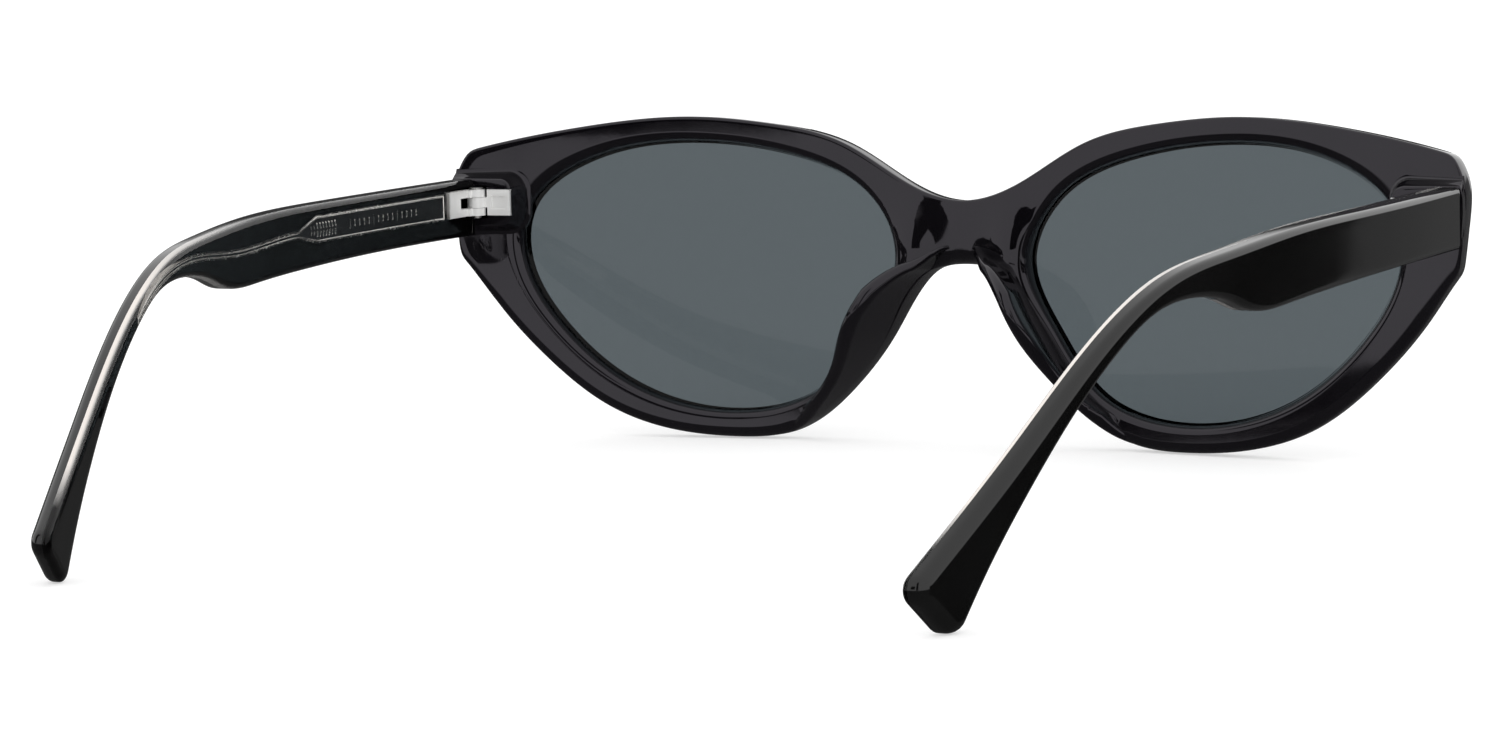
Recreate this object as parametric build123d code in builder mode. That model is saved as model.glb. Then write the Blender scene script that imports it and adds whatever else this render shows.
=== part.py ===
"""Cat eye sunglasses: acetate front, two lenses, two laminated temples on barrel hinges.

The wearer looks along -Y and the temples run towards +Y. The glasses stand open, as on a
table, on the bottoms of both rims and on both temple tips. +Z is up, and the origin is the
middle of the footprint. Left is the wearer's left, +X.
"""
import os
from math import cos, radians, sin

from build123d import *

# Driving dimensions, in millimetres and degrees
FRONT_THICK = 4.0       # acetate sheet of the front
FRONT_TILT = 4.1        # the front's top leans forward
WRAP_R = 260.0          # radius of the front's back face
FOOT_Y = -63.5          # depth of the rims' feet behind the origin
FACE_Y = FOOT_Y - 2.0   # the back face at the middle of the front
FOOT_Z = 0.1            # keeps the lowest rim edge on the table
SIDE_X = 72.2           # outer side of the end blocks and of the temples' roots
REAR_Y = 6.8            # end blocks' rear face, measured from the rims' feet
PARTING = 0.3           # gap between an end block and its open temple

LENS_THICK = 2.0
LENS_BACK = 1.4         # lens back surface, in front of the front's back face
GROOVE_DEPTH = 0.5
TONGUE = (1.9, 2.9)     # the bevel on the lens edge, in front of the back face
LENS_GAP = 0.05         # between a lens and its groove

LEAF_Z = (31.0, 34.6)   # hinge leaves' height range
BARREL_R = 1.27
BARREL_X = SIDE_X - 4.1
BARREL_Y = 7.0          # hinge axis, measured from the rims' feet
SLOT_Z = (32.05, 33.55) # the gap in the temple leaf that holds the middle knuckle
SCREW_R = 0.6
BORE_R = 0.65
HEAD_R = 1.0
PLATE_X = (SIDE_X - 9.2, SIDE_X - 5.65)   # the front leaf's plate
RECESS_X = (SIDE_X - 8.5, SIDE_X - 6.3)   # the shallow recess in it
CUT_X = (SIDE_X - 7, SIDE_X - 2)          # sideways range of cuts through the barrel
POCKET_X = SIDE_X - 2.5         # how deep the temple leaf is let into the temple
LEAF_END = 14.2

WIRE_THICK = 1.1
PLATE_START = 15.0
PLATE_Z = (30.9, 34.5)
WIRE_PATH = [(55.0, 32.9), (72.0, 32.1), (85.0, 32.6), (94.0, 31.2), (103.0, 26.8)]
WIRE_END = (1, -0.75)

os.makedirs("parts", exist_ok=True)

UP = Vector(0, -sin(radians(FRONT_TILT)), cos(radians(FRONT_TILT)))
AHEAD = Vector(0, -cos(radians(FRONT_TILT)), -sin(radians(FRONT_TILT)))
FACE = Plane(origin=(0, FACE_Y, FOOT_Z), x_dir=(1, 0, 0), z_dir=AHEAD)  # x right, y up the front
WRAP = Plane(origin=(0, FACE_Y, FOOT_Z), x_dir=(1, 0, 0), z_dir=UP)     # x right, y backwards
PLAN = Plane(origin=(0, FOOT_Y, 0), x_dir=(1, 0, 0), z_dir=(0, 0, 1))   # x right, y backwards
SIDE = Plane(origin=(0, FOOT_Y, 0), x_dir=(0, 1, 0), z_dir=(1, 0, 0))   # x backwards, y up

# Outlines of the wearer's left half, in the planes above
BROW = [(0, 32.8), (7.0, 34.6), (17.8, 40.7), (28.0, 43.1), (39.5, 44.0), (55.0, 42.5), (70.4, 39.2)]
FLANK = [(70.4, 39.2), (71.9, 36.4), (SIDE_X, 31.0), (71.5, 24.5)]
UNDER = [
    (71.5, 24.5), (67.0, 18.4), (59.3, 10.0), (50.9, 3.8), (42.0, 0.8), (32.5, 0), (24.3, 1.1), (16.3, 7.0),
    (10.4, 14.6), (6.4, 21.2), (3.6, 23.7), (0, 24.2),
]
OPENING = [
    (38.5, 40.8), (55.4, 37.6), (62.3, 31.5), (62.8, 24.0), (58.1, 15.5), (49.6, 8.0),
    (32.2, 3.5), (20.5, 7.0), (13.7, 15.5), (9.7, 25.0), (13.6, 33.4), (24.5, 38.9),
]
OPENING_STEPS = 24
PAD_FOOT = [(4.4, 27.3), (6.4, 21.2), (10.4, 14.6), (16.3, 7.0), (19.5, 3.7)]
PAD_LENS_SIDE = [(19.4, 5.6), (15.2, 10.8), (13.3, 15.6), (10.8, 21.5), (8.4, 27.6)]
PAD_DEPTH = [(-3, 28.5), (1.0, 27.2), (6.2, 24.6), (9.7, 20.4), (10.2, 16.4), (8.4, 12.4), (4.6, 7.4), (-3, 3.2)]
PAD_SPLAY = 9.0

TEMPLE_START = REAR_Y + PARTING
TEMPLE_TOP = [
    (TEMPLE_START, 36.0), (43.0, 36.0), (66.0, 35.6), (80.0, 34.5), (91.0, 33.0), (99.0, 30.2), (106.3, 26.3),
    (119.2, 17.4), (129.0, 10.5), (134.5, 6.7),
]
TEMPLE_HEEL = [(134.5, 6.7), (135.4, 5.2), (134.75, 3.6)]   # round between the top edge and the end cut
TEMPLE_TOE = [(131.5, 0.55), (130.0, 0.06), (128.6, 0.8)]   # round between the end cut and the bottom edge
TEMPLE_BOTTOM = [
    (128.6, 0.8), (125.8, 4.4), (119.3, 11.6), (110.0, 20.2), (101.4, 26.2), (95.5, 29.0), (90.0, 30.0),
    (84.0, 29.8), (79.5, 28.9), (75.8, 27.7), (72.0, 27.15), (66.0, 27.3), (54.0, 27.8), (36.0, 28.2),
    (TEMPLE_START, 28.2),
]
OUTER_CURVE = [(SIDE_X, TEMPLE_START), (72.1, 25), (71.0, 50), (68.6, 75), (64.1, 98), (60.0, 115), (53.6, 137)]
BOND_CURVE = [(69.9, TEMPLE_START), (69.8, 25), (68.8, 50), (66.6, 75), (62.2, 98), (58.1, 115), (51.7, 137)]
INNER_CURVE = [(68.1, TEMPLE_START), (68.0, 25), (67.1, 50), (65.1, 75), (61.1, 98), (57.1, 115), (50.7, 137)]


def depth_slab(back, front, mode=Mode.INTERSECT):
    """Keep what lies between two depths in front of the curved back face."""
    with BuildSketch(WRAP.offset(-5)) as ring:
        with Locations((0, WRAP_R)):
            Circle(WRAP_R + front)
            Circle(WRAP_R + back, mode=Mode.SUBTRACT)
    extrude(ring.sketch, amount=60, mode=mode)


def opening_face(grow):
    """One lens opening, made larger all round by an amount."""
    curve = Edge.make_spline([Vector(*point) for point in OPENING], periodic=True)
    steps = [step / OPENING_STEPS for step in range(OPENING_STEPS)]
    with BuildSketch(FACE) as sketch:
        with BuildLine():
            Spline(*[curve @ s + (curve % s).rotate(Axis.Z, 90) * grow for s in steps], periodic=True)
        make_face()
    return sketch.sketch


def block(x, y, z, mode=Mode.ADD):
    """A box between two x, two y (measured from the rims' feet) and two z values."""
    size = (x[1] - x[0], y[1] - y[0], z[1] - z[0])
    with Locations((sum(x) / 2, FOOT_Y + sum(y) / 2, sum(z) / 2)):
        Box(*size, mode=mode)


def barrel(radius, z, mode=Mode.ADD):
    """A cylinder on the left hinge's axis between two heights."""
    with Locations((BARREL_X, FOOT_Y + BARREL_Y, sum(z) / 2)):
        Cylinder(radius, z[1] - z[0], mode=mode)


def finish(left, name):
    """Label and write a left piece, and its mirror image on the right."""
    left.part.label = f"{name}_left"
    export_step(left.part, f"parts/{name}_left.step")
    with BuildPart() as right:
        mirror(left.part, about=Plane.YZ)
    right.part.label = f"{name}_right"
    export_step(right.part, f"parts/{name}_right.step")


with BuildSketch(FACE) as front_outline:
    with BuildLine():
        brow = Spline(*BROW, tangents=[(1, 0), (1, -0.28)])
        Spline(*FLANK)
        under = Spline(*UNDER, tangents=[(-0.6, -0.7), (-1, 0)])
        Line(under @ 1, brow @ 0)
    make_face()
    mirror(about=Plane.YZ)

# Lens grooves, cut into both rims
with BuildPart() as groove:
    extrude(opening_face(GROOVE_DEPTH), amount=20, both=True)
    depth_slab(TONGUE[0] - LENS_GAP, TONGUE[1] + LENS_GAP)

# The front: one cut and curved acetate sheet, rims and bridge in one piece
with BuildPart() as front_frame:
    extrude(front_outline.sketch, amount=20, both=True)
    depth_slab(0, FRONT_THICK)
    extrude(opening_face(0), amount=20, both=True, mode=Mode.SUBTRACT)
    extrude(mirror(opening_face(0), about=Plane.YZ, mode=Mode.PRIVATE), amount=20, both=True, mode=Mode.SUBTRACT)
    add(groove.part, mode=Mode.SUBTRACT)
    mirror(groove.part, about=Plane.YZ, mode=Mode.SUBTRACT)
front_frame.part.label = "front_frame"
export_step(front_frame.part, "parts/front_frame.step")

# Lenses: tinted, curved with the front, with a bevel tongue all round that sits in the groove
with BuildPart() as lens_middle:
    extrude(opening_face(-LENS_GAP), amount=20, both=True)
    depth_slab(LENS_BACK, LENS_BACK + LENS_THICK)
with BuildPart() as lens:
    extrude(opening_face(GROOVE_DEPTH - LENS_GAP), amount=20, both=True)
    depth_slab(*TONGUE)
    add(lens_middle.part)
finish(lens, "lens")

# Hinge leaf let into the end block: a plate with a shallow recess and the middle knuckle
with BuildPart() as front_leaf:
    block(PLATE_X, (REAR_Y - 1.2, REAR_Y), LEAF_Z)
    block(RECESS_X, (REAR_Y - 0.3, REAR_Y), (31.9, 33.7), mode=Mode.SUBTRACT)
    middle_z = (SLOT_Z[0] + 0.05, SLOT_Z[1] - 0.05)
    block((PLATE_X[1] - 0.05, BARREL_X), (BARREL_Y - BARREL_R, REAR_Y), middle_z)
    barrel(BARREL_R, middle_z)
    barrel(BORE_R, middle_z, mode=Mode.SUBTRACT)
finish(front_leaf, "front_hinge_leaf")

# Hinge leaf let into the temple: a fork with two knuckles, which holds the screw
with BuildPart() as temple_leaf:
    block((POCKET_X - 1.15, POCKET_X - 0.05), (8.6, LEAF_END), LEAF_Z)
    block((BARREL_X, BARREL_X + BARREL_R), (BARREL_Y, 8.8), LEAF_Z)
    barrel(BARREL_R, LEAF_Z)
    block(CUT_X, (5.0, 10.6), SLOT_Z, mode=Mode.SUBTRACT)
    barrel(SCREW_R, LEAF_Z, mode=Mode.SUBTRACT)
    barrel(HEAD_R, (LEAF_Z[1] - 0.3, LEAF_Z[1]), mode=Mode.SUBTRACT)
finish(temple_leaf, "temple_hinge_leaf")

# Hinge screw: slotted cheese head on top, end just below the lower knuckle
with BuildPart() as screw:
    barrel(SCREW_R, (LEAF_Z[0] - 0.35, LEAF_Z[1] - 0.3))
    barrel(HEAD_R, (LEAF_Z[1] - 0.3, LEAF_Z[1] + 0.3))
    slot_y = (BARREL_Y - 0.15, BARREL_Y + 0.15)
    block(CUT_X, slot_y, (LEAF_Z[1], LEAF_Z[1] + 0.3), mode=Mode.SUBTRACT)
finish(screw, "hinge_screw")

# End blocks: bonded behind the front's upper corners, tapered to a flat rear face
with BuildPart() as end_block:
    extrude(front_outline.sketch, amount=20, both=True)
    with BuildSketch(Plane.XZ.offset(-FOOT_Y - REAR_Y)) as rear_face:
        with Locations((SIDE_X - 3.1, 32.75)):
            RectangleRounded(12.4, 6.7, 2.5)
    extrude(rear_face.sketch, amount=4.4, taper=-18, mode=Mode.INTERSECT)
    add(front_frame.part, mode=Mode.SUBTRACT)
    block(PLATE_X, (REAR_Y - 1.2, REAR_Y), LEAF_Z, mode=Mode.SUBTRACT)
    pocket_r = BARREL_R + 0.2
    block((PLATE_X[1], POCKET_X), (BARREL_Y - pocket_r, REAR_Y), (30.5, 35.1), mode=Mode.SUBTRACT)
finish(end_block, "end_block")

# Nose pads: fins bonded behind the nasal rims, splayed outwards
with BuildPart() as nose_pad:
    with BuildSketch(FACE.offset(0.8)) as pad_foot:
        with BuildLine():
            nose_side = Spline(*PAD_FOOT)
            lens_side = Spline(*PAD_LENS_SIDE)
            Line(nose_side @ 1, lens_side @ 0)
            Line(lens_side @ 1, nose_side @ 0)
        make_face()
    splay = Vector(sin(radians(PAD_SPLAY)), cos(radians(PAD_SPLAY)), 0)
    extrude(pad_foot.sketch, amount=16, dir=splay)
    with BuildSketch(SIDE) as pad_side:
        with BuildLine():
            rear = Spline(*[(FACE_Y - FOOT_Y - 0.072 * z + depth, z) for depth, z in PAD_DEPTH])
            Line(rear @ 1, rear @ 0)
        make_face()
    extrude(pad_side.sketch, amount=40, mode=Mode.INTERSECT)
    add(front_frame.part, mode=Mode.SUBTRACT)
finish(nose_pad, "nose_pad")

# Temples: a black outer and a clear inner lamina, bonded along a curve, around a core wire
with BuildSketch(SIDE) as temple_side:
    with BuildLine():
        top = Spline(*TEMPLE_TOP)
        bottom = Spline(*TEMPLE_BOTTOM)
        ThreePointArc(*TEMPLE_HEEL)
        Line(TEMPLE_HEEL[2], TEMPLE_TOE[0])
        ThreePointArc(*TEMPLE_TOE)
        Line(bottom @ 1, top @ 0)
    make_face()


def lamina(inside, outside):
    """The temple's side outline between two curves in plan."""
    extrude(temple_side.sketch, amount=90)
    with BuildSketch(PLAN) as strip:
        with BuildLine():
            near = Spline(*inside)
            far = Spline(*outside)
            Line(near @ 0, far @ 0)
            Line(near @ 1, far @ 1)
        make_face()
    extrude(strip.sketch, amount=60, mode=Mode.INTERSECT)


def moved(curve, amount):
    """A plan curve shifted sideways."""
    return [(x + amount, y) for x, y in curve]


with BuildPart() as core_wire:
    with BuildSketch(SIDE) as wire_side:
        with BuildLine():
            over = Spline(*WIRE_PATH, tangents=[(1, 0), WIRE_END])
            under = Spline(*[(y, z - WIRE_THICK) for y, z in WIRE_PATH], tangents=[(1, 0), WIRE_END])
            Line(over @ 1, under @ 1)
            Polyline(over @ 0, (WIRE_PATH[0][0] - 5, PLATE_Z[1]), (PLATE_START, PLATE_Z[1]),
                     (PLATE_START, PLATE_Z[0]), (WIRE_PATH[0][0] - 5, PLATE_Z[0]), under @ 0)
        make_face()
    extrude(wire_side.sketch, amount=90)
    with BuildSketch(PLAN) as wire_strip:
        with BuildLine():
            near = Spline(*moved(BOND_CURVE, -WIRE_THICK / 2))
            far = Spline(*moved(BOND_CURVE, WIRE_THICK / 2))
            Line(near @ 0, far @ 0)
            Line(near @ 1, far @ 1)
        make_face()
    extrude(wire_strip.sketch, amount=60, mode=Mode.INTERSECT)
finish(core_wire, "core_wire")

with BuildPart() as temple_outer:
    lamina(BOND_CURVE, OUTER_CURVE)
    add(core_wire.part, mode=Mode.SUBTRACT)
finish(temple_outer, "temple_outer")

with BuildPart() as temple_inner:
    lamina(INNER_CURVE, BOND_CURVE)
    add(core_wire.part, mode=Mode.SUBTRACT)
    block((CUT_X[0] - 1, POCKET_X), (6.0, LEAF_END + 0.05), (30.5, 35.1), mode=Mode.SUBTRACT)
finish(temple_inner, "temple_inner")
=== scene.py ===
"""Cat eye sunglasses: the looks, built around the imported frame. Lengths are in metres."""
from math import cos, pi, radians, sin, tan

import bmesh
import bpy
import numpy as np
from mathutils import Matrix, Vector


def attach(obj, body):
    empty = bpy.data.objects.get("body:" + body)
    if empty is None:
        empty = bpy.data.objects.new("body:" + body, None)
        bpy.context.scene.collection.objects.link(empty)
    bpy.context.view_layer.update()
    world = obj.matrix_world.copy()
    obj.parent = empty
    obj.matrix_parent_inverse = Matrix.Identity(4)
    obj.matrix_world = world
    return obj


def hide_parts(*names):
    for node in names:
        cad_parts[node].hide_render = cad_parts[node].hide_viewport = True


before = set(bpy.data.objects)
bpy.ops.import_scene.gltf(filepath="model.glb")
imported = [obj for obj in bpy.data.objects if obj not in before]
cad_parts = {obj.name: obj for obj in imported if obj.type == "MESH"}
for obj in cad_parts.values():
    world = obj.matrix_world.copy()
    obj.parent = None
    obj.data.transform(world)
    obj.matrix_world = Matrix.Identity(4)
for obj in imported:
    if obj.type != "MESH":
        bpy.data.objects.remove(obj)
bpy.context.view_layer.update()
MM = 0.001

# The front, in the plane of its sheet: x to the wearer's left, v up the sheet, depth ahead of the
# curved back face. All in millimetres, as in the design.
FRONT_THICK = 4.0
FRONT_TILT = radians(4.1)
WRAP_R = 260.0
FOOT_Y = -63.5
FACE_Y = FOOT_Y - 2.0
FOOT_Z = 0.1
SIDE_X = 72.2
BROW = [(0, 32.8), (7.0, 34.6), (17.8, 40.7), (28.0, 43.1), (39.5, 44.0), (55.0, 42.5), (70.4, 39.2)]
LENS_CENTRE = np.array((36.0, 22.5))
FLANK = [(70.4, 39.2), (71.9, 36.4), (SIDE_X, 31.0), (71.5, 24.5)]
UNDER = [
    (71.5, 24.5), (67.0, 18.4), (59.3, 10.0), (50.9, 3.8), (42.0, 0.8), (32.5, 0.03),
    (24.3, 1.1), (16.3, 7.0), (10.4, 14.6), (6.4, 21.2), (3.6, 23.7), (0, 24.2),
]
OPENING = [
    (38.5, 40.8), (55.4, 37.6), (62.3, 31.5), (62.8, 24.0), (58.1, 15.5), (49.6, 8.0),
    (32.2, 3.5), (20.5, 7.0), (13.7, 15.5), (9.7, 25.0), (13.6, 33.4), (24.5, 38.9),
]

# The temples, seen from the side: y behind the rims' feet, z up; and their plan curves
REAR_Y = 6.8
TEMPLE_START = 7.1
TEMPLE_TOP = [
    (TEMPLE_START, 36.0), (43.0, 36.0), (66.0, 35.6), (80.0, 34.5), (91.0, 33.0),
    (99.0, 30.2), (106.3, 26.3), (119.2, 17.4), (129.0, 10.5), (134.5, 6.7),
]
TEMPLE_HEEL = [(134.5, 6.7), (135.4, 5.2), (134.75, 3.6)]   # from the top edge to the end cut
TEMPLE_TOE = [(131.5, 0.55), (130.0, 0.06), (128.6, 0.8)]   # from the end cut to the bottom edge
TEMPLE_BOTTOM = [
    (128.6, 0.8), (125.8, 4.4), (119.3, 11.6), (110.0, 20.2), (101.4, 26.2),
    (95.5, 29.0), (90.0, 30.0), (84.0, 29.8), (79.5, 28.9), (75.8, 27.7),
    (72.0, 27.15), (66.0, 27.3), (54.0, 27.8), (36.0, 28.2), (TEMPLE_START, 28.2),
]
OUTER_CURVE = [
    (SIDE_X, TEMPLE_START), (72.1, 25), (71.0, 50), (68.6, 75), (64.1, 98), (60.0, 115), (53.6, 137),
]
BOND_CURVE = [
    (69.9, TEMPLE_START), (69.8, 25), (68.8, 50), (66.6, 75), (62.2, 98), (58.1, 115), (51.7, 137),
]
INNER_CURVE = [
    (68.1, TEMPLE_START), (68.0, 25), (67.1, 50), (65.1, 75), (61.1, 98), (57.1, 115), (50.7, 137),
]

# The hinge, in the same side and plan measures
LEAF_Z = (31.0, 34.6)
BARREL_Y = 7.0
PLATE_X = (SIDE_X - 9.2, SIDE_X - 5.65)
POCKET_X = SIDE_X - 2.5
POCKET_Z = (30.5, 35.1)

# The core wire: a stamped plate near the hinge, then a plain wire to the bend
WIRE_THICK = 1.1
PLATE_START = 15.0
PLATE_Z = (30.9, 34.5)
WIRE_PATH = [(55.0, 32.9), (72.0, 32.1), (85.0, 32.6), (94.0, 31.2), (103.0, 26.8)]
WIRE_END = (1, -0.75)

# Nose pads run along the rim's edge: how far they reach back and how thick they are, at each x
PAD_REACH = [
    (0.9, -0.8), (1.8, 0.6), (2.8, 2.8), (4.0, 5.2), (5.7, 7.6), (7.4, 9.5), (8.9, 10.2), (10.2, 9.7),
    (11.7, 8.4), (13.3, 6.8), (15.1, 5.3), (17.0, 4.2), (19.0, 3.1), (21.0, 1.7), (25.0, -0.8),
]
PAD_THICK = [(0.9, 0.3), (2.5, 0.7), (4.5, 1.5), (8.9, 2.6), (13.2, 2.9), (18.9, 2.2), (25.0, 1.0)]
PAD_SPLAY = radians(9)
PAD_ROOT = -1.9        # how deep a pad starts inside the front
SWELL_HEIGHT = 1.1     # of the bridge's back towards the pads
BOND_OVERLAP = 0.03    # how far the black lamina reaches into the clear one


# ---------------------------------------------------------------- curves

def spline(points, start=None, end=None, closed=False):
    """A function of 0 to 1 along a smooth cubic through the points."""
    p = np.array(points, float)
    if closed:
        p = np.vstack([p, p[:1]])
    t = np.concatenate([[0], np.cumsum(np.linalg.norm(np.diff(p, axis=0), axis=1))])
    h = np.diff(t)
    d = np.diff(p, axis=0) / h[:, None]
    n = len(p)
    a = np.zeros((n, n))
    b = np.zeros((n, p.shape[1]))
    for i in range(1, n - 1):
        a[i, i - 1 : i + 2] = h[i], 2 * (h[i - 1] + h[i]), h[i - 1]
        b[i] = 3 * (h[i] * d[i - 1] + h[i - 1] * d[i])
    if closed:
        a[0, [0, 1, n - 2]] = 2 * (h[-1] + h[0]), h[-1], h[0]
        b[0] = 3 * (h[0] * d[-1] + h[-1] * d[0])
        a[-1, [0, -1]] = 1, -1
    else:
        for row, near, slope, chord in ((0, 1, start, d[0]), (n - 1, n - 2, end, d[-1])):
            a[row, row] = 1 if slope else 2
            a[row, near] = 0 if slope else 1
            b[row] = np.array(slope, float) / np.linalg.norm(slope) if slope else 3 * chord
    m = np.linalg.solve(a, b)

    def at(s):
        s = np.atleast_1d(np.asarray(s, float)) * t[-1]
        i = np.clip(np.searchsorted(t, s, side="right") - 1, 0, n - 2)
        u = ((s - t[i]) / h[i])[:, None]
        w = h[i][:, None]
        return (
            (1 + 2 * u) * (1 - u) ** 2 * p[i] + u * (1 - u) ** 2 * w * m[i]
            + u * u * (3 - 2 * u) * p[i + 1] + u * u * (u - 1) * w * m[i + 1]
        )

    return at


def even(curve, count):
    """Points at equal steps along a curve of 0 to 1."""
    fine = curve(np.linspace(0, 1, 1500))
    length = np.concatenate([[0], np.cumsum(np.linalg.norm(np.diff(fine, axis=0), axis=1))])
    share = np.interp(np.linspace(0, length[-1], count), length, np.linspace(0, 1, 1500))
    return curve(share)


def arc(points, count):
    """Points at equal steps along the circular arc through three points."""
    a, b, c = (complex(*point) for point in points)
    ratio = (c - a) / (b - a)
    centre = a + (b - a) * (ratio - abs(ratio) ** 2) / (2j * ratio.imag)
    turns = np.unwrap([np.angle(end - centre) for end in (a, b, c)])
    ring = centre + abs(a - centre) * np.exp(1j * np.linspace(turns[0], turns[2], count))
    return np.stack([ring.real, ring.imag], axis=1)


def inward(points, inside, closed=False):
    """Unit normals of a flat polyline, towards the side that the point inside lies on."""
    if closed:
        step = np.roll(points, -1, axis=0) - np.roll(points, 1, axis=0)
    else:
        step = np.gradient(points, axis=0)
    normal = np.stack([-step[:, 1], step[:, 0]], axis=1)
    normal /= np.linalg.norm(normal, axis=1)[:, None]
    middle = len(points) // 2
    if normal[middle] @ (np.array(inside) - points[middle]) < 0:
        normal = -normal
    return normal


def lookup(curve, x):
    """The first coordinate of a plan curve where its second is x."""
    fine = curve(np.linspace(0, 1, 800))
    return np.interp(x, fine[:, 1], fine[:, 0])


# ---------------------------------------------------------------- meshes

def place_front(x, v, depth):
    """A point of the front, in metres in the row frame, from sheet coordinates in millimetres."""
    ahead = np.sqrt((WRAP_R + depth) ** 2 - x ** 2) - WRAP_R
    y = FACE_Y - v * sin(FRONT_TILT) - ahead * cos(FRONT_TILT)
    z = FOOT_Z + v * cos(FRONT_TILT) - ahead * sin(FRONT_TILT)
    return np.stack([x, y, z], axis=-1) * MM


def grid_faces(rows, columns, wrap=False, base=0):
    """Quads of a grid of vertices, row by row; wrap joins the last column to the first."""
    faces = []
    for r in range(rows - 1):
        for c in range(columns if wrap else columns - 1):
            n = (c + 1) % columns
            a = base + r * columns
            faces.append((a + c, a + n, a + columns + n, a + columns + c))
    return faces


def new_piece(name, verts, faces, sharp=35):
    """A smooth-shaded mesh object; edges sharper than the angle stay crisp."""
    mesh = bpy.data.meshes.new(name)
    mesh.from_pydata([tuple(v) for v in verts], [], faces)
    mesh.validate()
    bm = bmesh.new()
    bm.from_mesh(mesh)
    bmesh.ops.remove_doubles(bm, verts=bm.verts, dist=2e-6)
    bmesh.ops.dissolve_degenerate(bm, edges=bm.edges, dist=1e-6)
    bmesh.ops.recalc_face_normals(bm, faces=bm.faces)
    bm.to_mesh(mesh)
    bm.free()
    mesh.shade_smooth()
    mesh.set_sharp_from_angle(angle=radians(sharp))
    piece = bpy.data.objects.new(name, mesh)
    bpy.context.scene.collection.objects.link(piece)
    return piece


def fit(piece, body, slot, material, *nodes):
    """Attach a piece to its body, give it its material and hide the CAD nodes that it stands for; slot is
    not used.
    """
    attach(piece, body)
    if nodes:
        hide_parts(*nodes)
    piece.data.materials.clear()
    piece.data.materials.append(material)
    return piece


def mirrored(verts):
    """The same points on the wearer's other side."""
    return np.asarray(verts) * (-1, 1, 1)


def quarter(steps):
    """Pairs (inset, rise) from 0 to 1 of a quarter round, from the wall to the face."""
    turn = np.linspace(0, pi / 2, steps + 1)
    return [(1 - cos(a), sin(a)) for a in turn]


def slope_of_arch(x):
    """1 on the arch under the bridge, fading to 0 where the nose pads begin."""
    t = np.clip((4.2 - x) / 2.6, 0, 1)
    return t * t * (3 - 2 * t)


def swell(x, v):
    """How far the bridge's back face swells towards the nose pads' tops: a guess from its reflections."""
    t = np.clip((36 - v) / 10, 0, 1)
    return SWELL_HEIGHT * np.exp(-((x - 7) / 3.2) ** 2) * t * t * (3 - 2 * t)


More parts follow.
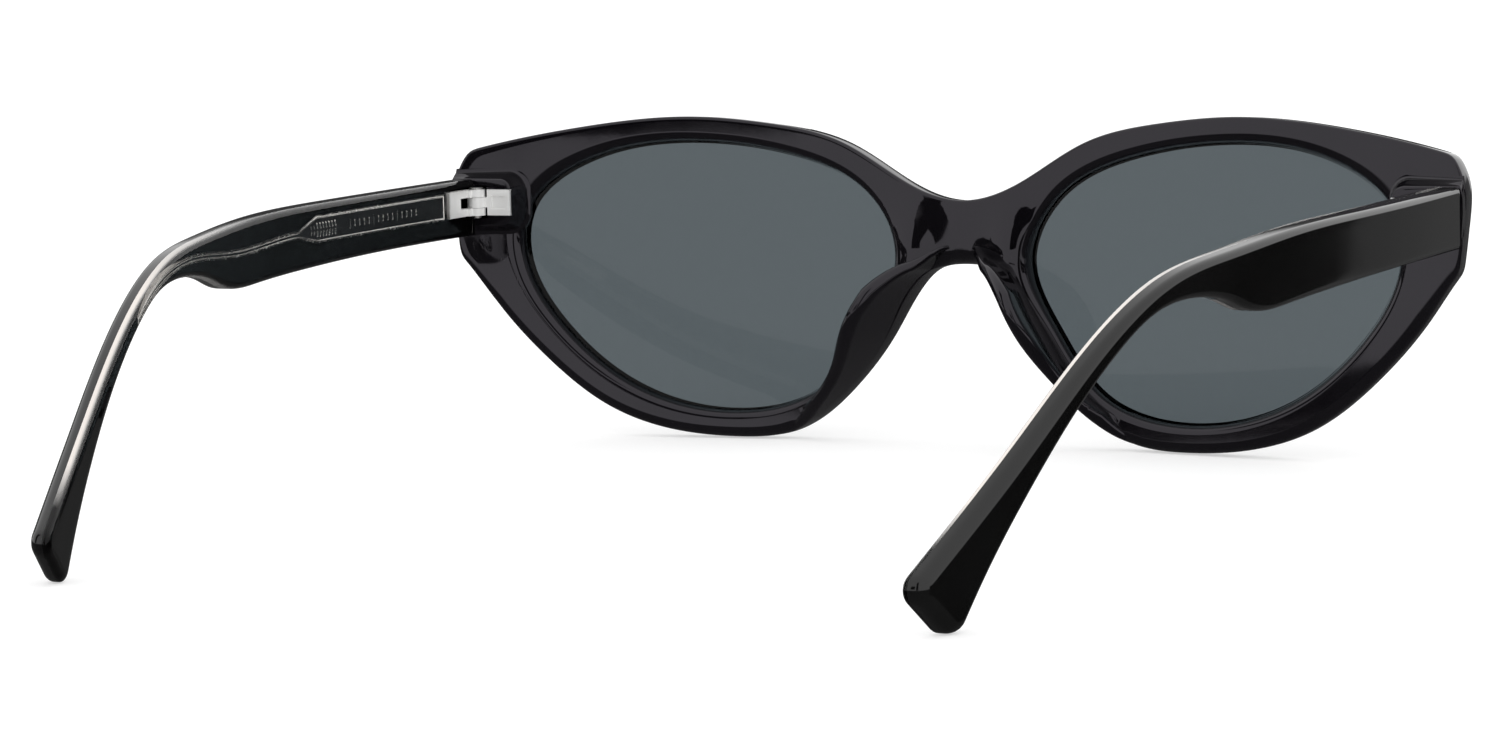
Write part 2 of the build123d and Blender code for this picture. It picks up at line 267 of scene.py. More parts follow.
def front_half():
    """Vertices and faces of the wearer's left half of the front: a ring round the lens opening."""
    brow = even(spline(BROW, start=(1, 0), end=(1, -0.28)), 120)
    flank = even(spline(FLANK), 26)
    under = even(spline(UNDER, start=(-0.6, -0.7), end=(-1, 0)), 190)
    rim = np.vstack([brow, flank[1:], under[1:]])
    for _ in range(3):
        rim[1:-1] = rim[:-2] / 4 + rim[1:-1] / 2 + rim[2:] / 4
    normal = inward(rim, LENS_CENTRE)
    normal[0], normal[-1] = (0, -1), (0, 1)

    # On the middle line the ring has no wall, only the two faces
    middle = np.linspace(rim[-1], rim[0], 14)[3:-3]
    outer = np.vstack([rim, middle])
    outer_normal = np.vstack([normal, np.zeros_like(middle)])

    # Each station looks for its partner on the opening: half by angle, half by nearness
    hole = even(spline(OPENING, closed=True), 1441)[:-1]
    hole_normal = inward(hole, LENS_CENTRE, closed=True)
    count = len(hole)
    hole_angle = np.unwrap(np.arctan2(*(hole - LENS_CENTRE).T[::-1]))
    aim = np.unwrap(np.arctan2(*(outer - LENS_CENTRE).T[::-1]))
    by_angle = np.array([np.argmin(np.abs(np.angle(np.exp(1j * (hole_angle - a))))) for a in aim])
    by_nearness = np.array([np.argmin(((hole - o) ** 2).sum(1)) for o in outer])
    gap = (by_nearness - by_angle + count // 2) % count - count // 2
    pick = by_angle + 0.5 * gap
    pick = np.unwrap(pick * 2 * pi / count) * count / (2 * pi)
    for _ in range(12):
        pick = (np.roll(pick, 1) + np.roll(pick, -1) + 2 * pick) / 4 + ring_seam(pick, count)
    inner_at = np.round(pick).astype(int) % count
    inner = hole[inner_at]
    inner_normal = -hole_normal[inner_at]

    # Rounding: small at the brow, larger under the rims, sloped under the bridge
    low = np.clip((26 - outer[:, 1]) / 8, 0, 1)
    nasal = outer[:, 1] < 28
    arch = slope_of_arch(outer[:, 0]) * nasal
    pad_foot = np.clip((outer[:, 0] - 1.5) / 2.5, 0, 1) * np.clip((24 - outer[:, 0]) / 4, 0, 1) * nasal
    back_inset = 0.05 + (0.4 + 0.8 * low) * (1 - pad_foot) + 1.6 * arch
    back_rise = 0.05 + (0.4 + 0.8 * low) * (1 - pad_foot) + 2.2 * arch
    below = np.clip((38 - outer[:, 1]) / 8, 0, 1)
    front_round = 0.9 + 0.6 * below
    side = np.clip((outer[:, 0] - 36) / 26, 0, 1)
    hole_back = 0.9 + 0.2 * side
    hole_front = 0.7

    loops = []

    def loop(anchor, direction, inset, depth):
        points = anchor + direction * np.broadcast_to(inset, len(anchor))[:, None]
        add_points(points, depth)

    def add_points(points, depth):
        x, v = points.T
        loops.append(place_front(x, v, depth - swell(x, v) * np.clip(1 - depth / 1.5, 0, 1)))

    def span(a_points, b_points, depth):
        for share in np.linspace(0, 1, 9)[1:-1]:
            add_points(a_points + (b_points - a_points) * share, depth)

    for inset, rise in quarter(5):
        loop(outer, outer_normal, front_round * inset, FRONT_THICK - front_round * (1 - rise))
    span(outer + outer_normal * front_round[:, None], inner + inner_normal * hole_front, FRONT_THICK)
    for inset, rise in reversed(quarter(4)):
        loop(inner, inner_normal, hole_front * inset, FRONT_THICK - hole_front * (1 - rise))
    for grow, depth in ((0, 2.95), (-0.45, 2.4), (0, 1.85)):
        loop(inner, inner_normal, grow, depth)
    for inset, rise in quarter(5):
        loop(inner, inner_normal, hole_back * inset, hole_back * (1 - rise))
    span(inner + inner_normal * hole_back[:, None], outer + outer_normal * back_inset[:, None], 0)
    for inset, rise in reversed(quarter(6)):
        loop(outer, outer_normal, back_inset * inset, back_rise * (1 - rise))
    verts = np.array(loops)
    rings, stations = verts.shape[:2]
    flat = verts.reshape(-1, 3)
    faces = grid_faces(rings, stations, wrap=True)
    last = (rings - 1) * stations
    faces += [
        (last + c, last + (c + 1) % stations, (c + 1) % stations, c) for c in range(stations)
    ]
    on_middle = np.abs(flat[:, 0]) < 1e-6
    faces = [f for f in faces if not all(on_middle[i] for i in f)]
    return flat, faces


def ring_seam(pick, count):
    """Corrects a circular average where a ring of positions wraps round."""
    fix = np.zeros(len(pick))
    turn = count * np.round((pick[-1] - pick[0]) / count)
    fix[0] = -turn / 4
    fix[-1] = turn / 4
    return fix


def build_front(material):
    """The acetate front: the left half and its mirror image, joined on the middle line."""
    verts, faces = front_half()
    other = [tuple(i + len(verts) for i in reversed(f)) for f in faces]
    piece = new_piece("front_shell", np.vstack([verts, mirrored(verts)]), faces + other, sharp=40)
    return fit(piece, "front", "acetate_front", material, "front_frame")


def build_lens(side, material):
    """A curved lens whose bevelled edge sits in the groove."""
    edge = even(spline(OPENING, closed=True), 181)[:-1]
    normal = -inward(edge, LENS_CENTRE, closed=True)
    loops = []
    for grow, depth in ((0.38, 2.4), (-0.06, 3.0), (-0.25, 3.4)):
        points = edge + normal * grow
        loops.append(place_front(points[:, 0], points[:, 1], depth))
    for share in np.linspace(1, 0, 13)[1:]:
        points = LENS_CENTRE + (edge - 0.25 * normal - LENS_CENTRE) * share
        loops.append(place_front(points[:, 0], points[:, 1], 3.4))
    for share in np.linspace(0, 1, 13)[:-1]:
        points = LENS_CENTRE + (edge - 0.25 * normal - LENS_CENTRE) * share
        loops.append(place_front(points[:, 0], points[:, 1], 1.4))
    for grow, depth in ((-0.25, 1.4), (-0.06, 1.6), (-0.06, 1.85)):
        points = edge + normal * grow
        loops.append(place_front(points[:, 0], points[:, 1], depth))
    verts = np.array(loops)
    rings, stations = verts.shape[:2]
    flat = verts.reshape(-1, 3)
    faces = grid_faces(rings, stations, wrap=True)
    last = (rings - 1) * stations
    faces += [(last + c, last + (c + 1) % stations, (c + 1) % stations, c) for c in range(stations)]
    if side < 0:
        flat = mirrored(flat)
    name = "left" if side > 0 else "right"
    piece = new_piece(f"lens_glass_{name}", flat, faces, sharp=30)
    return fit(piece, "front", "lens_tint", material, f"lens_{name}")


def outline_slab(rim, inside, profile, place, columns=8):
    """A closed slab with shaped edges from a U-shaped outline whose ends are joined by a straight side.

    profile lists (inset, level) from one face to the other; place turns flat points and a level into
    vertices. Each face is a grid between opposite points of the U.
    """
    count = len(rim)
    normal = inward(rim, inside)
    first, last = normal[0].copy(), normal[-1].copy()
    along = (rim[0] - rim[-1]) / np.linalg.norm(rim[0] - rim[-1])
    across = np.array((-along[1], along[0]))
    if across @ (rim[count // 2] - rim[0]) < 0:
        across = -across
    normal[0] = first - along * (first @ along + 1) + across
    normal[-1] = last - along * (last @ along - 1) + across
    loops = [place(rim + normal * inset, level) for inset, level in profile]
    verts = list(np.vstack(loops))
    faces = grid_faces(len(loops), count, wrap=True)
    for loop, face in ((0, -1), (len(loops) - 1, 1)):
        inset, level = profile[loop]
        points = rim + normal * inset
        rows = []
        for i in range(count // 2):
            a, b = loop * count + i, loop * count + count - 1 - i
            across_face = points[count - 1 - i] - points[i]
            between = points[i] + across_face * np.linspace(0, 1, columns + 1)[1:-1, None]
            start = len(verts)
            verts += list(place(between, level))
            rows.append([a, *range(start, start + columns - 1), b])
        for r in range(len(rows) - 1):
            for c in range(columns):
                quad = (rows[r][c], rows[r][c + 1], rows[r + 1][c + 1], rows[r + 1][c])
                faces.append(quad if face > 0 else quad[::-1])
    return np.array(verts), faces


def temple_rim():
    """The temple's side outline as a U, from the root's top round the tip to the root's bottom."""
    top = even(spline(TEMPLE_TOP), 150)
    bottom = even(spline(TEMPLE_BOTTOM), 150)
    end = np.linspace(TEMPLE_HEEL[2], TEMPLE_TOE[0], 8)
    return np.vstack([top[:-1], arc(TEMPLE_HEEL, 10), end[1:-1], arc(TEMPLE_TOE, 10), bottom[1:]])


def edge_round(y):
    """The radius along a temple's edges: larger towards the tip."""
    return np.interp(y, (96, 122), (0.9, 1.4))


def build_lamina(side, name, face_curve):
    """One lamina of a temple: flat on the bond, rounded along the edges of its outside face."""
    bond, face = spline(BOND_CURVE), spline(face_curve)
    out = 1 if lookup(face, 50) > lookup(bond, 50) else -1

    def place(points, level):
        """level 0 is the bond, below it lies the overlap with the other lamina; level 1 is the face."""
        y = points[:, 0]
        bond_x, face_x = lookup(bond, y), lookup(face, y)
        depth = np.minimum(edge_round(y), 0.85 * np.abs(face_x - bond_x))
        x = bond_x + out * level if level <= 0 else face_x - out * depth * (1 - level)
        return np.stack([x * side, FOOT_Y + y, points[:, 1]], axis=-1) * MM

    overlap = [(0.05, -BOND_OVERLAP), (0.0, 0)] if out > 0 else [(0.0, 0)]
    rim = temple_rim()
    radius = edge_round(rim[:, :1])
    profile = overlap + [(radius * inset, max(rise, 1e-6)) for inset, rise in quarter(7)]
    verts, faces = outline_slab(rim, (40, 32), profile, place)
    verts[:, 2] = np.maximum(verts[:, 2], 0.0001)
    return new_piece(name, verts, faces, sharp=35)


def mark_painted_edge_light(piece):
    """Weigh the clear lamina's edges, off its face and from the bend to the tip, for a painted highlight of
    gathered light.
    """
    weight = piece.data.attributes.new("painted_edge_light", "FLOAT", "POINT")
    spots = np.array([vertex.co for vertex in piece.data.vertices]) / MM
    y, z = spots[:, 1] - FOOT_Y, spots[:, 2]
    from_face = np.abs(spots[:, 0]) - lookup(spline(INNER_CURVE), y)
    value = np.zeros(len(spots))
    for edge, strength in ((TEMPLE_TOP, 1.0), (TEMPLE_BOTTOM, 0.35)):
        line = even(spline(edge), 400)
        places = np.stack([y, z], axis=1)
        away = np.array([np.sqrt(((line - point) ** 2).sum(1).min()) for point in places])
        near = np.clip((1.6 - away) / 0.3, 0, 1) * np.clip((from_face - 0.25) / 0.3, 0, 1)
        along = np.clip((y - 66) / 34, 0, 1) * np.clip((131.5 - y) / 6, 0, 1)
        value = np.maximum(value, strength * near * along)
    weight.data.foreach_set("value", value)


def cut_box(piece, x, y, z):
    """Cut a box, given by its ranges in the design's millimetres, out of a piece."""
    size = np.array((x[1] - x[0], y[1] - y[0], z[1] - z[0])) * MM
    middle = np.array((sum(x) / 2, FOOT_Y + sum(y) / 2, sum(z) / 2)) * MM
    bpy.ops.mesh.primitive_cube_add(size=1, location=middle)
    cutter = bpy.context.object
    cutter.scale = size
    bpy.context.view_layer.update()
    tool = piece.modifiers.new("pocket", "BOOLEAN")
    tool.operation, tool.solver, tool.object = "DIFFERENCE", "EXACT", cutter
    bpy.context.view_layer.update()
    result = bpy.data.meshes.new_from_object(piece.evaluated_get(bpy.context.evaluated_depsgraph_get()))
    piece.modifiers.clear()
    piece.data = result
    result.set_sharp_from_angle(angle=radians(35))
    bpy.data.objects.remove(cutter)
    return piece


def build_temple(side, black, bonded, clear):
    """Both laminae of one temple."""
    name = "left" if side > 0 else "right"
    body = f"temple_{name}"
    outer = build_lamina(side, f"temple_outer_shell_{name}", OUTER_CURVE)
    fit(outer, body, "acetate_temple", black, f"temple_outer_{name}")
    outer.data.materials.append(bonded)
    bond = spline(BOND_CURVE)
    for polygon in outer.data.polygons:
        x, y, _ = polygon.center / MM
        polygon.material_index = int(abs(x) < lookup(bond, y - FOOT_Y) - 0.02)
    inner = build_lamina(side, f"temple_inner_shell_{name}", INNER_CURVE)
    cut_box(inner, sorted((side * 64, side * POCKET_X)), (6.0, 14.25), POCKET_Z)
    mark_painted_edge_light(inner)
    fit(inner, body, "acetate_clear", clear, f"temple_inner_{name}")


def build_core_wire(side, dark, wire_painted_highlight):
    """The core wire, with a raised border, a knurl of short dashes and a plain row of ticks: these get
    painted highlights.
    """
    name = "left" if side > 0 else "right"
    bond = spline(BOND_CURVE)

    def place(points, level):
        """level counts millimetres from the bond, inwards."""
        y = points[:, 0]
        x = lookup(bond, y) - level
        return np.stack([x * side, FOOT_Y + y, points[:, 1]], axis=-1) * MM

    over = even(spline(WIRE_PATH, start=(1, 0), end=WIRE_END), 60)
    shoulder = WIRE_PATH[0][0] - 5
    top = np.vstack([
        np.linspace((PLATE_START, PLATE_Z[1]), (shoulder, PLATE_Z[1]), 24),
        np.linspace((shoulder, PLATE_Z[1]), over[0], 7)[1:],
        over[1:],
    ])
    bottom = np.vstack([
        np.linspace((PLATE_START, PLATE_Z[0]), (shoulder, PLATE_Z[0]), 24),
        np.linspace((shoulder, PLATE_Z[0]), over[0] - (0, WIRE_THICK), 7)[1:],
        over[1:] - (0, WIRE_THICK),
    ])
    rim = np.vstack([top, bottom[::-1]])
    half = WIRE_THICK / 2
    bead = [(0, half - 0.28), (0.15, half - 0.03), (0.21, half), (0.27, half - 0.03), (0.42, half - 0.2)]
    profile = [(0.1, -half), (0, 0.1 - half), *bead]
    verts, faces = outline_slab(rim, (40, 32.7), profile, place, columns=6)
    piece = new_piece(f"core_wire_shell_{name}", verts, faces, sharp=30)

    # Dashes of the knurl and ticks, raised on the plate's sunken face
    marks, mark_faces = [], []

    def dash(y, z, length, width, lean):
        """One raised bar, centred at y and z."""
        base = len(marks)
        across = np.array((width / 2, 0))
        along = np.array((lean * length / 2, length / 2))
        middle = np.array((y, z))
        corners = np.array([middle - along - across, middle - along + across,
                            middle + along + across, middle + along - across])
        marks.extend(place(corners, half - 0.22))
        marks.extend(place(middle + (corners - middle) * 0.45, half - 0.04))
        mark_faces.append(tuple(base + 4 + i for i in range(4)))
        for i in range(4):
            n = (i + 1) % 4
            mark_faces.append((base + i, base + n, base + 4 + n, base + 4 + i))

    for step in range(9):
        for row in (-1, 1):
            reach = 0.5 if step > 1 else 0.3
            z = 32.6 + row * (0.55 if step > 1 else 0.38)
            dash(51.6 - 0.82 * step, z, reach * 1.7, 0.3, 0.35 * row)
    for step in range(15):
        tall = 1.5 if step % 5 == 0 else 0.9
        dash(41.0 - 1.3 * step, 32.7, tall, 0.22, 0.0)
    ticks = new_piece(f"core_wire_marks_{name}", marks, mark_faces, sharp=20)
    # The wire gets a near-black metal, a painted dark reflection; its marks get a bright metal, a painted
    # highlight
    fit(piece, f"temple_{name}", "wire_metal", dark, f"core_wire_{name}")
    fit(ticks, f"temple_{name}", "wire_metal", wire_painted_highlight)
    piece.data.materials.append(wire_painted_highlight)
    # The border bead's faces get the bright metal: a painted highlight
    count = len(rim)
    for polygon in piece.data.polygons:
        verts_of = list(polygon.vertices)
        if max(verts_of) < len(profile) * count and min(verts_of) >= 2 * count:
            polygon.material_index = 1
    return piece


def build_pad(side, material):
    """A fin swept along the nasal rim: flush with the rim's outer wall, round at its rear edge."""
    name = "left" if side > 0 else "right"
    run = even(spline(UNDER, start=(-0.6, -0.7), end=(-1, 0)), 900)
    near = (run[:, 0] > PAD_REACH[0][0]) & (run[:, 0] < PAD_REACH[-1][0])
    normal = inward(run, LENS_CENTRE)[near][::3]
    run = run[near][::3]
    profile = spline(PAD_REACH)(np.linspace(0, 1, 400))
    reach = np.interp(run[:, 0], *profile.T)
    hole = even(spline(OPENING, closed=True), 721)
    room = np.array([np.sqrt(((hole - point) ** 2).sum(1).min()) for point in run])
    thick = np.minimum(np.interp(run[:, 0], *np.array(PAD_THICK).T), room - 1.2)
    arch = slope_of_arch(run[:, 0])
    rows = []
    for i in range(len(run)):
        blunt = min(thick[i] / 2, (reach[i] - PAD_ROOT) / 2)
        full = reach[i] - blunt
        section = [(0.05 if d < -1.3 else 0.01, d) for d in np.linspace(PAD_ROOT, full, 16)[:-1]]
        for turn in np.linspace(0, pi, 19):
            section.append((thick[i] / 2 * (1 - cos(turn)), full + blunt * sin(turn)))
        height = min(2.4, max(full, 0.05))
        section += [(thick[i], d) for d in np.linspace(full, height, 8)[1:-1]] if full > height else []
        flare = np.clip(room[i] - 0.9 - thick[i], 0.1, 1.5) * np.clip((run[i, 0] - 2) / 5, 0, 1)
        for turn in np.linspace(0, pi / 2, 8):
            section.append((thick[i] + flare * (1 - cos(turn)), min(full, height * (1 - sin(turn)))))
        section.append((thick[i] + flare, PAD_ROOT))
        n, d = np.array(section).T
        n = n + 2.1 * arch[i] * np.clip(1 + d / 2.4, 0.3, 1)
        x = run[i, 0] + normal[i, 0] * n + tan(PAD_SPLAY) * np.maximum(d, 0) * (1 - arch[i])
        v = run[i, 1] + normal[i, 1] * n
        rows.append((x, v, d))
    columns = max(len(row[0]) for row in rows)
    steps = np.linspace(0, 1, columns)
    loops = []
    for row in rows:
        share = np.linspace(0, 1, len(row[0]))
        x, v, d = (np.interp(steps, share, values) for values in row)
        loops.append(place_front(x, v, -d))
    verts = np.array(loops)
    flat = verts.reshape(-1, 3)
    if side < 0:
        flat = mirrored(flat)
    faces = grid_faces(len(rows), columns, wrap=True)
    faces.append(tuple(range(columns)))
    faces.append(tuple((len(rows) - 1) * columns + c for c in range(columns)))
    piece = new_piece(f"nose_pad_shell_{name}", flat, faces, sharp=50)
    return fit(piece, "front", "acetate_front", material, f"nose_pad_{name}")


def front_back(x, z):
    """How far the front's back face lies behind the rims' feet, at x and z."""
    ahead = np.sqrt(WRAP_R ** 2 - x ** 2) - WRAP_R
    v = (z - FOOT_Z + ahead * sin(FRONT_TILT)) / cos(FRONT_TILT)
    return FACE_Y - v * sin(FRONT_TILT) - ahead * cos(FRONT_TILT) - FOOT_Y


def build_end_block(side, material):
    """A block with a flat rear face, rounded corners and sides that flare into the front's back."""
    name = "left" if side > 0 else "right"
    low, high = np.array((SIDE_X - 9.3, 29.4)), np.array((SIDE_X + 3.1, 36.1))
    corner = 1.8
    turns = np.linspace(0, 2 * pi, 145)[:-1]
    unit = np.stack([np.cos(turns), np.sin(turns)], axis=1)
    core = (high - low) / 2 - corner
    base = (low + high) / 2 + np.clip(unit * 60, -core, core) + corner * unit
    flank = spline(FLANK)(np.linspace(0, 1, 300))
    wall = np.interp(base[:, 1], flank[::-1, 1], flank[::-1, 0]) - 0.04
    loops = []

    def loop(grow, share, extra):
        """A ring grown sideways, at a share of the way from the rear face to the front's back."""
        points = base + unit * grow
        x = np.minimum(points[:, 0], wall)
        height = np.maximum(REAR_Y - front_back(x, points[:, 1]), 0.3)
        y = FOOT_Y + REAR_Y - share * height - extra
        loops.append(np.stack([x * side, y, points[:, 1]], axis=-1) * MM)

    for turn in np.linspace(0, pi / 2, 6):
        loop(-0.4 * (1 - sin(turn)), 0.16 * (1 - cos(turn)), 0)
    loop(0.25, 0.4, 0)
    loop(0.5, 0.64, 0)
    for turn in np.linspace(0, pi / 2, 6):
        loop(0.62 + 0.6 * (1 - cos(turn)), 0.76 + 0.24 * sin(turn), 0)
    loop(1.22, 1, 0.5)
    verts = np.array(loops)
    rings, stations = verts.shape[:2]
    faces = grid_faces(rings, stations, wrap=True)
    faces.append(tuple(range(stations)))
    faces.append(tuple((rings - 1) * stations + c for c in range(stations)))
    piece = new_piece(f"end_block_shell_{name}", verts.reshape(-1, 3), faces, sharp=40)
    cut_box(piece, sorted((side * PLATE_X[1], side * POCKET_X)), (BARREL_Y - 1.47, 8.0), POCKET_Z)
    plate = sorted((side * (PLATE_X[0] - 0.08), side * (PLATE_X[1] + 0.02)))
    cut_box(piece, plate, (REAR_Y - 1.25, 8.0), (LEAF_Z[0] - 0.08, LEAF_Z[1] + 0.08))
    return fit(piece, "front", "acetate_front", material, f"end_block_{name}")


# ---------------------------------------------------------------- materials

def principled(name, color, roughness, **inputs):
    """A new material with a Principled shader, and its node tree."""
    material = bpy.data.materials.new(name)
    material.use_nodes = True
    shader = material.node_tree.nodes["Principled BSDF"]
    shader.inputs["Base Color"].default_value = (*color, 1)
    shader.inputs["Roughness"].default_value = roughness
    for key, value in inputs.items():
        shader.inputs[key.replace("_", " ")].default_value = value
    return material


def set_range(node, source, target):
    """Set the two ends of what a Map Range node takes in and gives out."""
    node.inputs["From Min"].default_value, node.inputs["From Max"].default_value = source
    node.inputs["To Min"].default_value, node.inputs["To Max"].default_value = target


def uneven(material, scale, roughness, height, stretch=(1, 1, 1)):
    """Vary a material's roughness between two values and ripple its surface, by noise on the object."""
    nodes, links = material.node_tree.nodes, material.node_tree.links
    shader = nodes["Principled BSDF"]
    coords = nodes.new("ShaderNodeTexCoord")
    mapping = nodes.new("ShaderNodeMapping")
    mapping.inputs["Scale"].default_value = stretch
    links.new(coords.outputs["Object"], mapping.inputs["Vector"])
    noise = nodes.new("ShaderNodeTexNoise")
    noise.inputs["Scale"].default_value = scale
    noise.inputs["Detail"].default_value = 5
    noise.inputs["Roughness"].default_value = 0.6
    links.new(mapping.outputs["Vector"], noise.inputs["Vector"])
    spread = nodes.new("ShaderNodeMapRange")
    set_range(spread, (0.3, 0.7), roughness)
    links.new(noise.outputs["Fac"], spread.inputs["Value"])
    links.new(spread.outputs["Result"], shader.inputs["Roughness"])
    bump = nodes.new("ShaderNodeBump")
    bump.inputs["Distance"].default_value = height
    bump.inputs["Strength"].default_value = 0.5
    links.new(noise.outputs["Fac"], bump.inputs["Height"])
    links.new(bump.outputs["Normal"], shader.inputs["Normal"])
    return material


def shaded(material, scale, dark, light):
    """Vary a material's base colour slowly between two colours."""
    nodes, links = material.node_tree.nodes, material.node_tree.links
    noise = nodes.new("ShaderNodeTexNoise")
    noise.inputs["Scale"].default_value = scale
    noise.inputs["Detail"].default_value = 3
    coords = nodes.new("ShaderNodeTexCoord")
    links.new(coords.outputs["Object"], noise.inputs["Vector"])
    ramp = nodes.new("ShaderNodeValToRGB")
    ramp.color_ramp.elements[0].position, ramp.color_ramp.elements[1].position = 0.35, 0.65
    ramp.color_ramp.elements[0].color, ramp.color_ramp.elements[1].color = (*dark, 1), (*light, 1)
    links.new(noise.outputs["Fac"], ramp.inputs["Fac"])
    links.new(ramp.outputs["Color"], nodes["Principled BSDF"].inputs["Base Color"])
    return material


def paint_edge_highlight(material, inside, edge):
    """Paint a highlight into the clear acetate: a creamy, less clear colour where the mesh's weight of
    painted light is high.
    """
    nodes, links = material.node_tree.nodes, material.node_tree.links
    shader = nodes["Principled BSDF"]
    weight = nodes.new("ShaderNodeAttribute")
    weight.attribute_name = "painted_edge_light"
    mix = nodes.new("ShaderNodeMix")
    mix.data_type = "RGBA"
    mix.inputs["A"].default_value, mix.inputs["B"].default_value = (*inside, 1), (*edge, 1)
    links.new(weight.outputs["Fac"], mix.inputs["Factor"])
    links.new(mix.outputs["Result"], shader.inputs["Base Color"])
    clearness = nodes.new("ShaderNodeMapRange")
    set_range(clearness, (0.0, 1.0), (1.0, 0.1))
    links.new(weight.outputs["Fac"], clearness.inputs["Value"])
    links.new(clearness.outputs["Result"], shader.inputs["Transmission Weight"])


# ---------------------------------------------------------------- the object

front_acetate = principled(
    "black_acetate", (0.010, 0.009, 0.011), 0.1, IOR=1.49, Specular_Tint=(0.88, 0.84, 0.93, 1))
uneven(front_acetate, 90, (0.02, 0.06), 4e-6)
shaded(front_acetate, 40, (0.0025, 0.0022, 0.003), (0.0045, 0.004, 0.005))
temple_acetate = principled("temple_acetate", (0.01, 0.01, 0.01), 0.1, IOR=1.49)
uneven(temple_acetate, 120, (0.04, 0.1), 5e-6)
shaded(temple_acetate, 50, (0.002, 0.002, 0.002), (0.004, 0.004, 0.004))
# The black lamina's glued face has no gloss
bonded = principled("bonded_acetate", (0.0015, 0.0015, 0.0015), 0.5, Specular_IOR_Level=0.0)
clear = principled(
    "clear_acetate", (0.975, 0.96, 0.94), 0.02, IOR=1.49, Transmission_Weight=1.0,
    Specular_Tint=(0.4, 0.4, 0.4, 1))
uneven(clear, 150, (0.0, 0.04), 4e-6)
# The clear acetate's edges, from the bend to the tip, turn creamy and less clear: a painted highlight
paint_edge_highlight(clear, (0.975, 0.96, 0.94), (0.90, 0.84, 0.79))
# The low index stands for a coated lens, whose back reflects little
tint = principled("grey_lens", (0.080, 0.096, 0.104), 0.0, IOR=1.22, Transmission_Weight=1.0)
nickel = principled("nickel_silver", (0.95, 0.95, 0.94), 0.45, Metallic=0.55)
uneven(nickel, 900, (0.38, 0.52), 3e-6, stretch=(1, 0.15, 1))
steel = principled("screw_steel", (0.62, 0.61, 0.6), 0.3, Metallic=1.0)
uneven(steel, 1500, (0.2, 0.4), 3e-6)
# Dark and bright copies of one wire metal: a painted dark reflection on the wire, painted highlights on its
# border and marks
wire_painted_dark = principled("wire_painted_dark_reflection", (0.035, 0.035, 0.037), 0.4, Metallic=1.0)
uneven(wire_painted_dark, 700, (0.3, 0.5), 4e-6, (0.2, 0.2, 1))
wire_painted_highlight = principled("wire_painted_highlight_metal", (0.85, 0.84, 0.82), 0.2, Metallic=1.0)
uneven(wire_painted_highlight, 1200, (0.15, 0.3), 2e-6)

build_front(front_acetate)
for side in (1, -1):
    build_lens(side, tint)
    build_pad(side, front_acetate)
    build_end_block(side, front_acetate)
    build_temple(side, temple_acetate, bonded, clear)
    build_core_wire(side, wire_painted_dark, wire_painted_highlight)
for name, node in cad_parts.items():
    if not node.hide_render:
        node.data.materials.clear()
        node.data.materials.append(steel if name.startswith("hinge_screw") else nickel)
        bevel = node.modifiers.new("edge", "BEVEL")
        bevel.width, bevel.segments, bevel.angle_limit = 0.1 * MM, 3, radians(40)

# ---------------------------------------------------------------- stage

WHITE = 1.15    # strength of the studio's white light
CARD_AWAY = 1.5    # metres from the glasses to the cards that reflections see


def flag(name, start, end, height, tone, ahead=False):
    """A curved dark card 1.5 m away that only reflections see, between two compass angles in degrees.

    The angles run from straight behind, or straight ahead, towards the wearer's left. tone is the
    glow low down and the two heights between which it grows to the studio's white.
    """
    dark, low, high = tone
    facing = -1 if ahead else 1
    verts = []
    for z in height:
        for turn in np.radians(np.linspace(start, end, 13)):
            verts.append((CARD_AWAY * sin(turn), facing * CARD_AWAY * cos(turn), z * MM))
    mesh = bpy.data.meshes.new(name)
    mesh.from_pydata(verts, [], grid_faces(2, 13))
    sheet = bpy.data.objects.new(name, mesh)
    bpy.context.scene.collection.objects.link(sheet)
    material = bpy.data.materials.new(name)
    material.use_nodes = True
    nodes, links = material.node_tree.nodes, material.node_tree.links
    nodes.clear()
    coords = nodes.new("ShaderNodeTexCoord")
    split = nodes.new("ShaderNodeSeparateXYZ")
    links.new(coords.outputs["Object"], split.inputs["Vector"])
    rise = nodes.new("ShaderNodeMapRange")
    rise.interpolation_type = "SMOOTHSTEP"
    set_range(rise, (low * MM, high * MM), (dark, WHITE))
    links.new(split.outputs["Z"], rise.inputs["Value"])
    glow = nodes.new("ShaderNodeEmission")
    links.new(rise.outputs["Result"], glow.inputs["Strength"])
    output = nodes.new("ShaderNodeOutputMaterial")
    links.new(glow.outputs["Emission"], output.inputs["Surface"])
    mesh.materials.append(material)
    sheet.visible_camera = sheet.visible_diffuse = False
    sheet.visible_transmission = sheet.visible_shadow = False


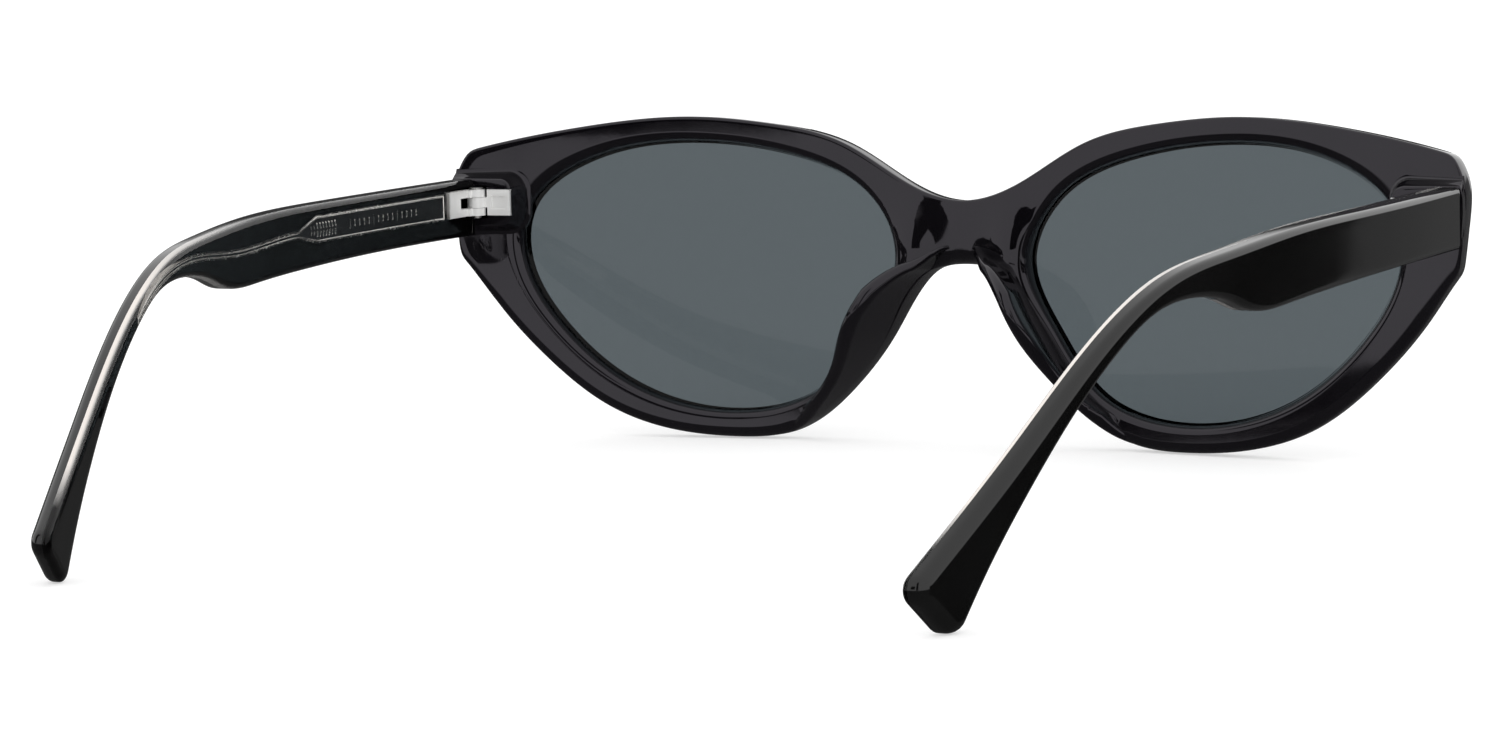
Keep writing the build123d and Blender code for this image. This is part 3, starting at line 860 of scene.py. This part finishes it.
def build_stage():
    """A bright pale floor, a white world that is dark below the floor, and cards for reflections."""
    bpy.ops.mesh.primitive_plane_add(size=40, location=(0, 0, 0))
    floor = bpy.context.object
    floor.name = "studio_floor"
    paint = principled(
        "floor_paint", (0.62, 0.62, 0.62), 1.0, Emission_Color=(1, 1, 1, 1), Emission_Strength=0.5)
    paint.node_tree.nodes["Principled BSDF"].inputs["Specular IOR Level"].default_value = 0
    floor.data.materials.append(paint)
    floor.visible_glossy = False
    world = bpy.data.worlds.new("studio")
    bpy.context.scene.world = world
    world.use_nodes = True
    nodes, links = world.node_tree.nodes, world.node_tree.links
    coords = nodes.new("ShaderNodeTexCoord")
    split = nodes.new("ShaderNodeSeparateXYZ")
    rise = nodes.new("ShaderNodeMapRange")
    rise.interpolation_type = "SMOOTHSTEP"
    set_range(rise, (-0.05, -0.004), (0.1, WHITE))
    links.new(coords.outputs["Generated"], split.inputs["Vector"])
    links.new(split.outputs["Z"], rise.inputs["Value"])
    links.new(rise.outputs["Result"], nodes["Background"].inputs["Strength"])
    nodes["Background"].inputs["Color"].default_value = (1, 1, 1, 1)
    bpy.context.scene.view_settings.view_transform = "Standard"
    # Ahead of the glasses: these keep the temples' sides and straight top edges dark
    flag("flag_ahead_far", -95, -27, (-500, 260), (0.02, 120, 240), ahead=True)
    flag("flag_ahead_near", -27, -12, (-500, 260), (0.16, 120, 240), ahead=True)
    flag("flag_ahead_middle", 11, 23.5, (-200, 500), (0.06, 280, 480), ahead=True)
    flag("flag_ahead_left", 29.5, 70, (-200, 500), (0.06, 280, 480), ahead=True)
    # Behind: these put the dark patches on the bridge's back
    flag("flag_behind_camera", -24, -11, (0, 1500), (0.03, 1200, 1500))
    flag("flag_behind_bridge", -3, 16, (160, 700), (0.0, 500, 700))
    flag("flag_behind_left", 54, 68, (0, 1500), (0.03, 1200, 1500))


def build_camera():
    """The camera stands behind the wearer's right shoulder and looks slightly down."""
    yaw, pitch, roll = radians(25.8), radians(6.66), -0.026
    look = Vector((sin(yaw) * cos(pitch), -cos(yaw) * cos(pitch), -sin(pitch)))
    right = look.cross(Vector((0, 0, 1))).normalized()
    up = right.cross(look)
    c, s = cos(roll), sin(roll)
    right, up = c * right + s * up, -s * right + c * up
    data = bpy.data.cameras.new("camera")
    data.sensor_width = 36
    data.lens = 101.53
    data.clip_start, data.clip_end = 0.01, 50
    camera = bpy.data.objects.new("camera", data)
    bpy.context.scene.collection.objects.link(camera)
    place = Matrix((right, up, -look)).transposed().to_4x4()
    place.translation = Vector((-220.4, FOOT_Y + 518.1, 76.1)) * MM
    camera.matrix_world = place
    bpy.context.scene.camera = camera


build_stage()
build_camera()
